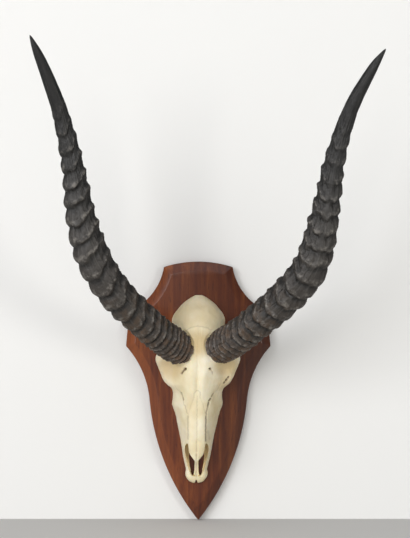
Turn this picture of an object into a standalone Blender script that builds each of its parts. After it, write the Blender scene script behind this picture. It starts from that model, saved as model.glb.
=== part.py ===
"""Wall mount of a kob skull: cleaned bone and two ringed horns on a bevelled hardwood shield.

The wall is the plane y = 0 and the mount stands out from it towards -Y, with +Z up and +X to the
viewer's right. The origin is on the shield's back face, on its centre line, halfway up.
Plan points are (x, z) in millimetres. A height is measured from the shield's front face towards
the viewer, and a depth is measured from the wall.
"""

import functools
import math

import bmesh
import bpy
import numpy as np
from mathutils import Matrix, Vector

MM = 0.001
GAP = 0.3
WELD = 0.00002
SHARP_ANGLE = math.radians(28.0)
TO_VIEWER = np.array([0.0, 0.0, 1.0])
FRONT_FACING = -0.99
CUT_PAST = 2.0
CUTTER_HEIGHT = 60.0
UPRIGHT = Matrix.Rotation(math.pi / 2, 4, "X")
INTO_BOARD = Matrix.Rotation(-math.pi / 2, 4, "X")

# The shield, in millimetres: a slab with a flat bevel round its front.
SHIELD_THICKNESS = 20.0
BEVEL_WIDTH = 13.5
BEVEL_DEPTH = 9.5
SHIELD_APEX = (0.0, 190.0)
TOP_CORNER = (50.5, 182.0)
SHOULDER_CORNER = (101.4, 117.0)
SIDE_POINT = (106.2, 65.7)
WAIST = (71.7, -12.1)
SHIELD_TIP = (0.0, -190.0)
TOP_ARCH_RADIUS = 164.0
SHOULDER_SCOOP_RADIUS = 86.5
WAIST_SCOOP_RADIUS = 135.0
TAPER_RADIUS = 330.0

# The keyhole plate in the shield's back, with the pocket that a screw head drops into.
PLATE_Z = 140.0
PLATE_WIDTH = 20.0
PLATE_LENGTH = 46.0
PLATE_THICKNESS = 1.6
PLATE_REBATE = 2.0
POCKET_WIDTH = 13.0
POCKET_LENGTH = 27.0
POCKET_DEPTH = 9.0
ENTRY_RADIUS = 5.0
ENTRY_DROP = 6.0
SLOT_WIDTH = 5.0
SLOT_RISE = 7.0
PLATE_SCREW_OFFSET = 18.0

# Countersunk screws: (head radius, head depth, shank radius, length).
PLATE_SCREW = (2.6, 1.4, 1.2, 12.0)
SKULL_SCREW = (4.5, 3.6, 2.1, 34.0)
SKULL_SCREW_HEIGHTS = (96.0, -24.0)
SCREW_SIDES = 16
HOLE_RUN_OUT = 3.0

# The skull's loft. Each row is a station: its z, then five points of the right half section as
# (x, height): midline, dorsal shoulder, upper side, widest edge and the sawn lower edge.
SKULL_STATIONS = (
    (141.0, (0, 10), (2.2, 9.5), (3.7, 8), (4.8, 5), (5.2, 0)),
    (138.0, (0, 19), (5, 18), (8.4, 14), (10.2, 8), (10.4, 0)),
    (131.0, (0, 32), (9.5, 30), (16.5, 23.5), (20.2, 13), (20.4, 0)),
    (121.0, (0, 45), (13.5, 42.5), (24.5, 33.5), (29.6, 18), (29.8, 0)),
    (114.0, (0, 51), (15.6, 48.4), (29, 38), (34.9, 20.6), (34.9, 0)),
    (108.0, (0, 55), (17, 52), (31, 41), (37.5, 22), (37.2, 0)),
    (93.0, (0, 61), (17, 58), (31, 46), (36.8, 25), (36, 0)),
    (78.0, (0, 65), (17, 63), (33, 51), (39, 30), (37, 0)),
    (66.0, (0, 66.5), (16, 65), (36, 54), (49, 36), (44, 0)),
    (57.0, (0, 66), (16, 64.5), (39, 51), (58.3, 36), (54, 0)),
    (49.0, (0, 65), (16, 63.5), (40, 48), (59.8, 35), (56, 0)),
    (41.0, (0, 63.5), (16, 62), (38, 46), (57.2, 33), (54, 0)),
    (32.0, (0, 61.5), (15, 60), (36, 45), (53.8, 32), (50, 0)),
    (22.0, (0, 59.5), (15, 57.5), (34, 44), (50, 30), (46, 0)),
    (14.0, (0, 57.5), (14.5, 55.5), (32, 43), (44.6, 27), (42, 0)),
    (8.0, (0, 56), (14, 53.5), (29, 41), (37.8, 23), (37, 0)),
    (2.0, (0, 54.5), (14, 52), (27, 39), (35, 20), (35.8, 0)),
    (-8.0, (0, 52), (13.5, 49), (26, 35), (34, 16), (36.3, 0)),
    (-18.0, (0, 50.5), (13, 47.5), (25, 33), (33.8, 14), (37.2, 0)),
    (-26.0, (0, 49.5), (12.8, 46.5), (23, 31), (31, 13), (34.3, 0)),
    (-34.0, (0, 48.5), (12.6, 45.5), (21.5, 30), (28.5, 13), (31.8, 0)),
    (-46.0, (0, 47), (12.3, 44), (19.5, 29), (26, 13), (29.3, 0)),
    (-58.0, (0, 45), (12, 42), (18, 28), (23.5, 12), (26.5, 0)),
    (-69.0, (0, 41), (11.7, 38.5), (17, 27), (21.8, 12), (24.2, 0)),
    (-80.0, (0, 30), (11, 29.5), (17, 26), (20.6, 12), (22.3, 0)),
    (-93.0, (0, 21), (10, 21), (15.5, 19), (19, 9), (20.2, 0)),
    (-105.0, (0, 14), (8.5, 13.8), (13, 12.2), (16, 6), (16.8, 0)),
    (-109.5, (0, 12.2), (8, 12), (12.4, 10.4), (15.1, 5), (15.8, 0)),
    (-114.5, (0, 11), (8, 10.5), (13, 9), (15.8, 4), (16.4, 0)),
    (-120.0, (0, 9.5), (7.5, 9), (12, 7), (14.6, 3), (15, 0)),
    (-125.5, (0, 7.5), (5.5, 7), (8.5, 5.5), (10.2, 2.5), (10.5, 0)),
    (-129.0, (0, 4.5), (3, 4.2), (4.5, 3.2), (5.5, 1.5), (5.8, 0)),
)
SKULL_COLUMN_STEPS = 2
# The skull is seated a little askew, turned this far about a point between the horns.
SKULL_LEAN = 0.014
SKULL_LEAN_Z = 70.0

# The eye sockets are ellipsoids sunk into the skull's sides: centre (x, z, height), radii along
# the socket's own length, height and depth, and the turn of its mouth towards the nose.
SOCKET_CENTRE = (52.0, 27.0, 4.0)
SOCKET_RADII = (19.5, 25.0, 26.0)
SOCKET_TURN = math.radians(27.0)

# The open nose: a trough between the nose walls, and two slots through its floor.
TROUGH_FLOOR = 6.0
TROUGH_PLAN = (
    (13.0, -70.0),
    (17.4, -78.0),
    (16.6, -88.0),
    (14.3, -98.0),
    (11.0, -107.0),
    (8.6, -114.0),
    (5.0, -118.0),
)
SLOT_PLAN = (
    (3.2, -84.0),
    (10.2, -85.0),
    (10.4, -98.0),
    (9.3, -108.0),
    (7.5, -115.5),
    (5.5, -117.3),
    (3.6, -114.0),
)
NOSE_NOTCH = (1.6, 9.0)

# The free end of the nasal bones over the trough. Each row: z, half width, height on the midline.
NASAL_TIP_STATIONS = (
    (-50.0, 10.0, 44.6),
    (-62.0, 11.8, 43.4),
    (-72.0, 12.2, 41.9),
    (-81.0, 11.0, 40.4),
    (-86.4, 9.2, 39.5),
    (-90.5, 6.2, 38.8),
    (-94.5, 2.2, 38.1),
    (-95.5, 1.0, 38.0),
)
NASAL_THICKNESS = 4.5
NASAL_CROWN = 3.5
NASAL_UNDERSIDE_SHARE = 0.92
NASAL_ANGLES = [math.radians(angle) for angle in (0, 30, 60, 90)]

# Small openings of the face: centre (x, z), radii across and along, turn in plan and height.
BROW_HOLE = ((17.6, 39.0), 1.5, 3.4, math.radians(-28.0), 60.0)
TEAR_SLIT = ((20.4, -4.0), 1.5, 7.5, math.radians(22.0), 42.0)
SMALL_HOLE_DEPTH = 7.0

# The horns, base to tip, as (x, z, depth from the wall). They differ as the real pair does.
HORN_PATHS = {
    "horn_left": (
        (-32.2, 71.0, 77.3),
        (-64.1, 98.4, 107.0),
        (-108.8, 145.2, 143.0),
        (-136.8, 191.6, 162.0),
        (-152.7, 246.1, 176.0),
        (-162.0, 313.7, 191.0),
        (-175.5, 376.9, 207.0),
        (-192.6, 428.7, 225.0),
        (-210.4, 473.4, 243.0),
    ),
    "horn_right": (
        (35.5, 71.4, 77.3),
        (62.2, 90.8, 103.0),
        (115.3, 137.9, 142.0),
        (146.8, 177.1, 161.0),
        (158.9, 211.7, 171.0),
        (170.0, 268.3, 184.0),
        (177.5, 316.4, 194.0),
        (195.6, 380.3, 211.0),
        (220.6, 430.1, 231.0),
        (237.2, 456.0, 243.0),
    ),
}
# The side of each horn that faces away from the other one, as a sign of the angle round it.
HORN_OUTWARD = {"horn_left": 1.0, "horn_right": -1.0}
# A ring's lip isn't square to its horn. Each row: degrees round from the front, growing outwards,
# and how far towards the tip the lip lies there on a ring of the wide pitch.
RING_SAGS = {
    "horn_left": (
        *((-180, 8.0), (-135, 13.0), (-90, 17.0), (-60, 16.0), (-45, 14.0), (-33, 9.5)),
        *((-10, 3.5), (15, 0.0), (45, -0.8), (75, -1.0), (120, 1.0), (180, 8.0)),
    ),
    "horn_right": (
        *((-180, 9.0), (-120, 14.0), (-90, 14.0), (-60, 11.5), (-39, 5.0), (-14, 0.3)),
        *((12, 0.8), (50, 3.3), (90, 6.5), (140, 8.0), (180, 9.0)),
    ),
}
WIDE_PITCH = 23.0
SAG_FADE = 60.0
# Share of the length, and the radius over the rings there.
HORN_RADII = (
    (0.0, 23.6),
    (0.12, 22.6),
    (0.3, 23.2),
    (0.4, 22.2),
    (0.5, 19.2),
    (0.6, 15.2),
    (0.7, 11.9),
    (0.8, 9.3),
    (0.9, 7.2),
    (0.96, 4.6),
    (1.0, 0.9),
)
# Where each ring's lip lies along its horn: crowded at the base, a finger's width apart above.
RING_LIPS = {
    "horn_left": (
        *(3, 10, 18, 27, 36, 46, 58, 74, 94, 115, 138),
        *(163, 188, 211, 234, 257, 281, 304, 327, 351, 375, 397),
    ),
    "horn_right": (
        *(3, 11, 19, 28, 38, 49, 62, 79, 100, 121, 142),
        *(163, 185, 207, 229, 251, 273, 295, 318, 341, 363, 384),
    ),
}
RING_RELIEF = 3.0
RING_FADE = (330.0, 420.0)
FADED_SHARE = 0.3
# A ring's rows: share of its pitch, and share of the relief there.
RING_ROWS = ((0.0, -0.5), (0.22, 1.0), (0.62, 0.4))
NARROW_RING_SHARE = 0.4
FULL_RING_PITCH = 30.0
FRONT_RELIEF_SHARE = 0.35
GROOVE_SHARE = 0.45
TIP_RADIUS = 12.0
HORN_SIDES = 16
HORN_ANGLES = [2 * math.pi * i / HORN_SIDES for i in range(HORN_SIDES)]
HORN_TIP_ROWS = 9
HORN_BASE_TURN = math.radians(20.0)
HORN_BASE_RUN_IN = 40.0
PEDICEL_INSET = 1.6
PEDICEL_FLARE = 5.0
PEDICEL_LENGTH = 46.0
PEDICEL_WAIST = 0.4
PEDICEL_FOOT = 2.0
SEAT_LENGTH = 50.0


def clear_scene():
    for obj in list(bpy.data.objects):
        bpy.data.objects.remove(obj, do_unlink=True)


def make_collection(name):
    collection = bpy.data.collections.new(name)
    bpy.context.scene.collection.children.link(collection)
    return collection


def make_material(name, colour, roughness, metallic=0.0):
    material = bpy.data.materials.new(name)
    material.use_nodes = True
    shader = material.node_tree.nodes["Principled BSDF"]
    shader.inputs["Base Color"].default_value = (*colour, 1.0)
    shader.inputs["Roughness"].default_value = roughness
    shader.inputs["Metallic"].default_value = metallic
    return material


def place(x, z, depth):
    """A point of the mount, in metres, from its plan place and its depth from the wall."""
    return Vector((x, -depth, z)) * MM


def on_shield(x, z, height):
    return place(x, z, SHIELD_THICKNESS + height)


def add_object(name, bm, collection, material=None):
    bmesh.ops.recalc_face_normals(bm, faces=bm.faces)
    mesh = bpy.data.meshes.new(name)
    bm.to_mesh(mesh)
    bm.free()
    obj = bpy.data.objects.new(name, mesh)
    collection.objects.link(obj)
    if material:
        mesh.materials.append(material)
    return obj


def add_cutter(name, bm):
    obj = add_object(name, bm, CUTTERS)
    obj.hide_render = True
    obj.display_type = "WIRE"
    return obj


def combine(obj, other, operation):
    modifier = obj.modifiers.new(other.name, "BOOLEAN")
    modifier.operation = operation
    modifier.solver = "EXACT"
    modifier.object = other


def arc(start, end, radius, steps):
    """Points from start to just before end. A positive radius bulges to the left of the way."""
    a, b = Vector(start), Vector(end)
    chord = b - a
    side = Vector((-chord.y, chord.x)).normalized()
    to_centre = math.sqrt(radius * radius - chord.length_squared / 4)
    centre = (a + b) / 2 - side * math.copysign(to_centre, radius)
    first = a - centre
    turn = first.angle_signed(b - centre)
    return [centre + Matrix.Rotation(-turn * i / steps, 2) @ first for i in range(steps)]


def shield_outline():
    """The outline's points, clockwise from the apex as the viewer sees it."""
    right = arc(SHIELD_APEX, TOP_CORNER, TOP_ARCH_RADIUS, steps=5)
    right += arc(TOP_CORNER, SHOULDER_CORNER, -SHOULDER_SCOOP_RADIUS, steps=9)
    right += [Vector(SHOULDER_CORNER)]
    right += arc(SIDE_POINT, WAIST, -WAIST_SCOOP_RADIUS, steps=7)
    right += arc(WAIST, SHIELD_TIP, TAPER_RADIUS, steps=7)
    left = [Vector((-p.x, p.y)) for p in reversed(right[1:])]
    return right + [Vector(SHIELD_TIP)] + left


def slab(plan, low, high):
    """A flat outline given thickness between two depths from the wall, as a mesh."""
    curve = bpy.data.curves.new("slab", "CURVE")
    curve.dimensions = "2D"
    curve.fill_mode = "BOTH"
    curve.extrude = (high - low) / 2 * MM
    spline = curve.splines.new("POLY")
    spline.points.add(len(plan) - 1)
    for point, (x, z) in zip(spline.points, plan):
        point.co = (x * MM, z * MM, 0.0, 1.0)
    spline.use_cyclic_u = True
    guide = bpy.data.objects.new("slab", curve)
    CUTTERS.objects.link(guide)
    guide.matrix_world = Matrix.Translation(place(0, 0, (low + high) / 2)) @ UPRIGHT
    bpy.context.view_layer.update()
    evaluated = guide.evaluated_get(bpy.context.evaluated_depsgraph_get())
    mesh = bpy.data.meshes.new_from_object(evaluated)
    bm = bmesh.new()
    bm.from_mesh(mesh)
    bm.transform(guide.matrix_world)
    bmesh.ops.remove_doubles(bm, verts=bm.verts, dist=WELD)
    bpy.data.objects.remove(guide, do_unlink=True)
    bpy.data.curves.remove(curve)
    bpy.data.meshes.remove(mesh)
    return bm


def mirrored(plan):
    """A plan outline given for +X, closed across the midline."""
    return list(plan) + [(-x, z) for x, z in reversed(plan)]


def rod(radius, low, high, x, z):
    """A cylinder square to the wall, between two depths."""
    bm = bmesh.new()
    at = Matrix.Translation(place(x, z, (low + high) / 2)) @ UPRIGHT
    bmesh.ops.create_cone(
        bm,
        cap_ends=True,
        segments=2 * SCREW_SIDES,
        radius1=radius * MM,
        radius2=radius * MM,
        depth=(high - low) * MM,
        matrix=at,
    )
    return bm


def capsule_plan(half_width, low, high, steps=6):
    """An upright slot outline with round ends, between two heights z."""
    angles = [math.pi * i / steps for i in range(steps + 1)]
    top = [(half_width * math.cos(a), high + half_width * math.sin(a)) for a in angles]
    return top + [(-x, low - (z - high)) for x, z in top]


def make_shield(material):
    bm = slab(shield_outline(), 0.0, SHIELD_THICKNESS - BEVEL_DEPTH)
    bmesh.ops.recalc_face_normals(bm, faces=bm.faces)
    front = [face for face in bm.faces if face.normal.y < FRONT_FACING]
    bmesh.ops.inset_region(
        bm, faces=front, thickness=BEVEL_WIDTH * MM, depth=BEVEL_DEPTH * MM, use_even_offset=True
    )
    shield = add_object("shield", bm, MOUNT, material)
    half = PLATE_WIDTH / 2 + GAP
    reach = PLATE_LENGTH / 2 - PLATE_WIDTH / 2
    rebate = capsule_plan(half, PLATE_Z - reach, PLATE_Z + reach)
    combine(shield, add_cutter("plate_rebate", slab(rebate, -CUT_PAST, PLATE_REBATE)), "DIFFERENCE")
    reach = (POCKET_LENGTH - POCKET_WIDTH) / 2
    pocket = capsule_plan(POCKET_WIDTH / 2, PLATE_Z - reach, PLATE_Z + reach)
    combine(shield, add_cutter("head_pocket", slab(pocket, -CUT_PAST, POCKET_DEPTH)), "DIFFERENCE")
    return shield


def make_plate(material):
    """The keyhole plate: an oblong steel plate let in flush, with one hole and slot in it."""
    reach = PLATE_LENGTH / 2 - PLATE_WIDTH / 2
    outline = capsule_plan(PLATE_WIDTH / 2, PLATE_Z - reach, PLATE_Z + reach)
    low = PLATE_REBATE - GAP - PLATE_THICKNESS
    plate = add_object("hanger_plate", slab(outline, low, PLATE_REBATE - GAP), MOUNT, material)
    entry = rod(ENTRY_RADIUS, -CUT_PAST, POCKET_DEPTH, 0.0, PLATE_Z - ENTRY_DROP)
    combine(plate, add_cutter("keyhole_entry", entry), "DIFFERENCE")
    slot = capsule_plan(SLOT_WIDTH / 2, PLATE_Z - ENTRY_DROP, PLATE_Z + SLOT_RISE)
    combine(plate, add_cutter("keyhole_slot", slab(slot, -CUT_PAST, POCKET_DEPTH)), "DIFFERENCE")
    return plate


def turned(name, profile, depth, x, z, collection):
    """A turned solid about a line square to the wall. Its profile runs down its outer side."""
    mesh = bpy.data.meshes.new(name)
    edges = [(i, i + 1) for i in range(len(profile) - 1)]
    mesh.from_pydata([(radius * MM, 0.0, height * MM) for radius, height in profile], edges, [])
    obj = bpy.data.objects.new(name, mesh)
    collection.objects.link(obj)
    turn = obj.modifiers.new("turn", "SCREW")
    turn.steps = turn.render_steps = SCREW_SIDES
    turn.use_merge_vertices = True
    turn.merge_threshold = WELD
    obj.matrix_world = Matrix.Translation(place(x, z, depth)) @ INTO_BOARD
    return obj


def add_screw(name, size, depth, x, z, bored, material):
    """A countersunk screw with its head's face at the given depth, and its hole in each piece."""
    head_radius, head_depth, shank_radius, length = size
    profile = (
        (0.0, 0.0),
        (head_radius, 0.0),
        (shank_radius, -head_depth),
        (shank_radius, -length),
        (0.0, -length),
    )
    screw = turned(name, profile, depth, x, z, MOUNT)
    screw.data.materials.append(material)
    wide, end = head_radius + GAP, -length - GAP
    profile = (
        (0.0, HOLE_RUN_OUT),
        (wide, HOLE_RUN_OUT),
        (wide, 0.0),
        (shank_radius + GAP, -head_depth),
        (shank_radius + GAP, end),
        (0.0, end),
    )
    hole = turned(name + "_hole", profile, depth, x, z, CUTTERS)
    hole.hide_render = True
    hole.display_type = "WIRE"
    for piece in bored:
        combine(piece, hole, "DIFFERENCE")


def through(knots, values, at):
    """A smooth curve through the values at rising knots, read at the given places."""
    knots, values, at = (np.asarray(a, float) for a in (knots, values, at))
    steps = np.diff(knots)
    slopes = np.diff(values, axis=0) / steps[:, None]
    tangents = np.vstack([slopes[:1], slopes, slopes[-1:]])
    share = np.concatenate([[0.5], steps[1:] / (steps[:-1] + steps[1:]), [0.5]])[:, None]
    tangents = tangents[:-1] * share + tangents[1:] * (1 - share)
    cell = np.clip(np.searchsorted(knots, at, side="right") - 1, 0, len(steps) - 1)
    width = steps[cell][:, None]
    t = ((at - knots[cell]) / steps[cell])[:, None]
    return (
        (2 * t**3 - 3 * t**2 + 1) * values[cell]
        + (t**3 - 2 * t**2 + t) * width * tangents[cell]
        + (3 * t**2 - 2 * t**3) * values[cell + 1]
        + (t**3 - t**2) * width * tangents[cell + 1]
    )


def loft(rows):
    """A closed mesh over rows of points, each row a closed section, with flat ends."""
    bm = bmesh.new()
    grid = [[bm.verts.new(point) for point in row] for row in rows]
    count = len(rows[0])
    for near, far in zip(grid, grid[1:]):
        for i in range(count):
            j = (i + 1) % count
            bm.faces.new((near[i], near[j], far[j], far[i]))
    bm.faces.new(grid[0])
    bm.faces.new(list(reversed(grid[-1])))
    return bm


def leaning(x, z):
    """A plan place of the skull, moved as the skull leans on the board."""
    return x + SKULL_LEAN * (z - SKULL_LEAN_Z), z


def section(half, steps, z, low=GAP):
    """A closed section from a right half given as (x, height), smoothed and mirrored."""
    places = np.linspace(0, len(half) - 1, (len(half) - 1) * steps + 1)
    right = through(np.arange(len(half)), half, places)
    right[:, 1] = np.maximum(right[:, 1], 0.0)
    points = [(x, height) for x, height in right]
    points += [(-x, height) for x, height in reversed(points[1:])]
    return [on_shield(*leaning(x, z), height + low) for x, height in points]


def make_skull_body(material):
    rows = []
    for z, *half in SKULL_STATIONS:
        rows.append(section(half, SKULL_COLUMN_STEPS, z))
    return add_object("skull", loft(rows), MOUNT, material)


def nasal_tip():
    """The arched plate that the two nasal bones make where they reach over the open nose."""
    rows = []
    for z, half_width, height in NASAL_TIP_STATIONS:
        crown = [height - NASAL_CROWN * (1 - math.cos(a)) for a in NASAL_ANGLES]
        top = [(half_width * math.sin(a), h) for a, h in zip(NASAL_ANGLES, crown)]
        low = [(NASAL_UNDERSIDE_SHARE * x, h - NASAL_THICKNESS) for x, h in reversed(top)]
        right = top + low
        left = [(-x, h) for x, h in reversed(right[1:-1])]
        rows.append([on_shield(*leaning(x, z), h) for x, h in right + left])
    return add_cutter("nasal_tip", loft(rows))


def pit(name, centre, across, along, turn, height):
    """A small cutter: an ellipsoid sunk in the face, longer along the nose than across it."""
    bm = bmesh.new()
    bmesh.ops.create_uvsphere(bm, u_segments=8, v_segments=6, radius=1.0)
    size = Matrix.Diagonal((across * MM, SMALL_HOLE_DEPTH * MM, along * MM, 1.0))
    spin = Matrix.Rotation(turn, 4, "Y")
    move = Matrix.Translation(on_shield(*leaning(*centre), height))
    bm.transform(move @ spin @ size)
    return add_cutter(name, bm)


def socket(side):
    """An eye socket's cutter for one side, 1 or -1."""
    bm = bmesh.new()
    bmesh.ops.create_uvsphere(bm, u_segments=16, v_segments=10, radius=1.0)
    length, height, depth = (radius * MM for radius in SOCKET_RADII)
    size = Matrix.Diagonal((depth, height, length, 1.0))
    spin = Matrix.Rotation(side * SOCKET_TURN, 4, "Y")
    x, z, up = SOCKET_CENTRE
    bm.transform(Matrix.Translation(on_shield(*leaning(side * x, z), up)) @ spin @ size)
    return add_cutter("socket_right" if side > 0 else "socket_left", bm)


@functools.lru_cache
def horn_line(name, steps=240):
    """Dense points along a horn's middle, their arc lengths and the unit directions there."""
    path = HORN_PATHS[name]
    points = through(np.arange(len(path)), path, np.linspace(0, len(path) - 1, steps))
    lengths = np.concatenate([[0], np.cumsum(np.linalg.norm(np.diff(points, axis=0), axis=1))])
    ways = np.gradient(points, lengths, axis=0)
    return points, lengths, ways / np.linalg.norm(ways, axis=1)[:, None]


def horn_rows(name, length):
    """(place along the horn, relief there) for each row of the loft, three rows to a ring."""
    lips = RING_LIPS[name]
    rows = [(-HORN_BASE_RUN_IN, 0.0)]
    for low, high in zip(lips, lips[1:]):
        pitch = high - low
        fade = float(np.interp(low, RING_FADE, (1.0, FADED_SHARE)))
        fade *= min(1.0, NARROW_RING_SHARE + pitch / FULL_RING_PITCH)
        rows += [(low + share * pitch, relief * fade) for share, relief in RING_ROWS]
    step = (length - lips[-1]) / HORN_TIP_ROWS
    rows += [(lips[-1] + step * i, 0.0) for i in range(HORN_TIP_ROWS + 1)]
    return rows


def horn_base_plane(name):
    """A point and a normal (x, z, depth) of the plane where horn and bone meet."""
    points, _, ways = horn_line(name)
    level = ways[0] * (1.0, 1.0, 0.0)
    level /= np.linalg.norm(level)
    normal = math.sin(HORN_BASE_TURN) * level + math.cos(HORN_BASE_TURN) * TO_VIEWER
    return points[0], normal


def on_horn(name, at, radius, angle):
    """A point (x, z, depth) at a length, a radius and an angle round from the front."""
    points, lengths, ways = horn_line(name)
    reach = min(max(at, 0.0), lengths[-1])
    middle = np.array([np.interp(reach, lengths, points[:, i]) for i in range(3)])
    way = np.array([np.interp(reach, lengths, ways[:, i]) for i in range(3)])
    way /= np.linalg.norm(way)
    front = TO_VIEWER - way * way[2]
    front /= np.linalg.norm(front)
    across = np.cross(front, way)
    return middle + way * (at - reach) + radius * (math.cos(angle) * front + math.sin(angle) * across)


def ring_sag(name, at, angle):
    """How far towards the tip the surface at a place along a horn is drawn, at one angle."""
    lips = RING_LIPS[name]
    size = np.interp(at, lips[:-1], np.diff(lips)) / WIDE_PITCH
    fade = np.interp(at, (lips[-1], lips[-1] + SAG_FADE), (1.0, 0.0))
    outward = math.degrees(math.remainder(HORN_OUTWARD[name] * angle, 2 * math.pi))
    angles, sags = zip(*RING_SAGS[name])
    return float(size * fade * np.interp(outward, angles, sags))


def make_horn(name, material):
    length = horn_line(name)[1][-1]
    shares, radii = zip(*HORN_RADII)
    rows = []
    for at, relief in horn_rows(name, length):
        row = []
        for angle in HORN_ANGLES:
            spot = min(at + ring_sag(name, at, angle), length)
            share = max(spot / length, 0.0)
            radius = float(through(shares, [[r] for r in radii], [share])[0, 0])
            shrink = GROOVE_SHARE * RING_RELIEF * min(1.0, radius / TIP_RADIUS)
            facing = 1 - FRONT_RELIEF_SHARE * (1 - math.cos(angle)) / 2
            swell = radius - shrink + RING_RELIEF * relief * facing
            row.append(place(*on_horn(name, spot, swell, angle)))
        rows.append(row)
    bm = loft(rows)
    origin, normal = horn_base_plane(name)
    cut_off(bm, place(*(origin + normal * GAP)), place(*normal), True)
    return add_object(name, bm, MOUNT, material)


def horn_tube(name, stops):
    """A closed plain tube along the horn's line, from (place along the horn, radius) stops."""
    return loft(
        [[place(*on_horn(name, at, radius, angle)) for angle in HORN_ANGLES] for at, radius in stops]
    )


def cut_off(bm, point, normal, keep_front):
    """Cut a closed mesh by a plane, keep one side of it and close the cut."""
    edge = bmesh.ops.bisect_plane(
        bm,
        geom=bm.verts[:] + bm.edges[:] + bm.faces[:],
        plane_co=point,
        plane_no=normal,
        clear_inner=keep_front,
        clear_outer=not keep_front,
    )["geom_cut"]
    rim = [e for e in edge if isinstance(e, bmesh.types.BMEdge)]
    bmesh.ops.contextual_create(bm, geom=rim)


def pedicel(name):
    """The bony stump that a horn grows from, cut at the plane where the horn starts."""
    origin, normal = horn_base_plane(name)
    radius = HORN_RADII[0][1] - PEDICEL_INSET
    waist = -PEDICEL_WAIST * PEDICEL_LENGTH
    foot = (-PEDICEL_LENGTH, radius + PEDICEL_FLARE)
    bm = horn_tube(name, [foot, (waist, radius), (PEDICEL_LENGTH, radius)])
    cut_off(bm, place(*origin), place(*normal), False)
    cut_off(bm, on_shield(0, 0, PEDICEL_FOOT), Vector((0, -1, 0)), True)
    return add_cutter(name + "_pedicel", bm)


def horn_seat(name):
    """The room that the horn's own foot takes out of the bone beyond the base plane."""
    origin, normal = horn_base_plane(name)
    radius = HORN_RADII[0][1] + RING_RELIEF + GAP
    bm = horn_tube(name, [(-HORN_BASE_RUN_IN, radius), (0.0, radius), (SEAT_LENGTH, radius)])
    cut_off(bm, place(*origin), place(*normal), True)
    return add_cutter(name + "_seat", bm)


def make_skull(material):
    skull = make_skull_body(material)
    floor = SHIELD_THICKNESS + TROUGH_FLOOR
    trough_plan = [leaning(x, z) for x, z in mirrored(TROUGH_PLAN)]
    trough = slab(trough_plan, floor, SHIELD_THICKNESS + CUTTER_HEIGHT)
    combine(skull, add_cutter("nose_trough", trough), "DIFFERENCE")
    combine(skull, nasal_tip(), "UNION")
    for name in HORN_PATHS:
        combine(skull, pedicel(name), "UNION")
    for name in HORN_PATHS:
        combine(skull, horn_seat(name), "DIFFERENCE")
    for side, word in ((1, "right"), (-1, "left")):
        combine(skull, socket(side), "DIFFERENCE")
        slot_plan = [leaning(side * x, z) for x, z in SLOT_PLAN]
        slot = slab(slot_plan, SHIELD_THICKNESS - CUT_PAST, floor + CUT_PAST)
        combine(skull, add_cutter("nose_slot_" + word, slot), "DIFFERENCE")
        for label, hole in (("brow", BROW_HOLE), ("tear", TEAR_SLIT)):
            (x, z), across, along, turn, height = hole
            cutter = pit(f"{label}_{word}", (side * x, z), across, along, side * turn, height)
            combine(skull, cutter, "DIFFERENCE")
    half_width, length = NOSE_NOTCH
    nose_end = SKULL_STATIONS[-1][0]
    low = nose_end - CUT_PAST
    wedge = ((half_width, low), (0.0, nose_end + length), (-half_width, low))
    notch_plan = [leaning(x, z) for x, z in wedge]
    notch = slab(notch_plan, SHIELD_THICKNESS - CUT_PAST, SHIELD_THICKNESS + CUTTER_HEIGHT)
    combine(skull, add_cutter("nose_notch", notch), "DIFFERENCE")
    return skull


clear_scene()
MOUNT = make_collection("skull_mount")
CUTTERS = make_collection("cutters")
wood = make_material("stained_hardwood", (0.10, 0.025, 0.014), 0.38)
bone = make_material("bleached_bone", (0.80, 0.70, 0.49), 0.6)
horn = make_material("horn_keratin", (0.035, 0.031, 0.028), 0.5)
steel = make_material("zinc_plated_steel", (0.55, 0.55, 0.53), 0.35, 1.0)

shield = make_shield(wood)
skull = make_skull(bone)
for horn_name in HORN_PATHS:
    make_horn(horn_name, horn)
make_plate(steel)
plate_face = PLATE_REBATE - GAP - PLATE_THICKNESS
for word, offset in (("upper", PLATE_SCREW_OFFSET), ("lower", -PLATE_SCREW_OFFSET)):
    bored = (shield, bpy.data.objects["hanger_plate"])
    add_screw(f"plate_screw_{word}", PLATE_SCREW, plate_face, 0.0, PLATE_Z + offset, bored, steel)
for word, height in zip(("upper", "lower"), SKULL_SCREW_HEIGHTS):
    add_screw(f"skull_screw_{word}", SKULL_SCREW, GAP, 0.0, height, (shield, skull), steel)
for piece in MOUNT.objects:
    if piece.name not in ("shield", "hanger_plate"):
        piece.data.shade_smooth()
        piece.data.set_sharp_from_angle(angle=SHARP_ANGLE)
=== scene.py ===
import math

import bpy
import numpy as np
from mathutils import Matrix, Vector, noise


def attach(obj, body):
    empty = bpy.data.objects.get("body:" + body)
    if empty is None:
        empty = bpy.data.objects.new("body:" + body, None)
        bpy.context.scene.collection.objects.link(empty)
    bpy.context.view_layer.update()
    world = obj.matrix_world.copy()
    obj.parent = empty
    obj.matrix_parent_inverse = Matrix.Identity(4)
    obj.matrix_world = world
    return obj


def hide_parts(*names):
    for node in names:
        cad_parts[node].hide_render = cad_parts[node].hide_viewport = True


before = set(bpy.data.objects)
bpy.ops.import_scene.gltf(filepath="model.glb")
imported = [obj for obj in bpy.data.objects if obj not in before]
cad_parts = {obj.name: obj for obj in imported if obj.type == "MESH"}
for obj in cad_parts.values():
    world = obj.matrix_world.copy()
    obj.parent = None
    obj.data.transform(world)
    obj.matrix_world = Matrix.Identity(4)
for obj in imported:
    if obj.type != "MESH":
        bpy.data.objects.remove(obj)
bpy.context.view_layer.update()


# The shield: one board of mahogany, cut to a heater outline with scooped corners, then given a
# flat bevel all round its front and a satin varnish. Its edges are eased with fine abrasive
# paper. A rebate and a pocket for the keyhole plate and two screw holes are cut in its back.
MM = 0.001
SHIELD_THICKNESS = 20.0
BEVEL_WIDTH = 13.5
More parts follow.
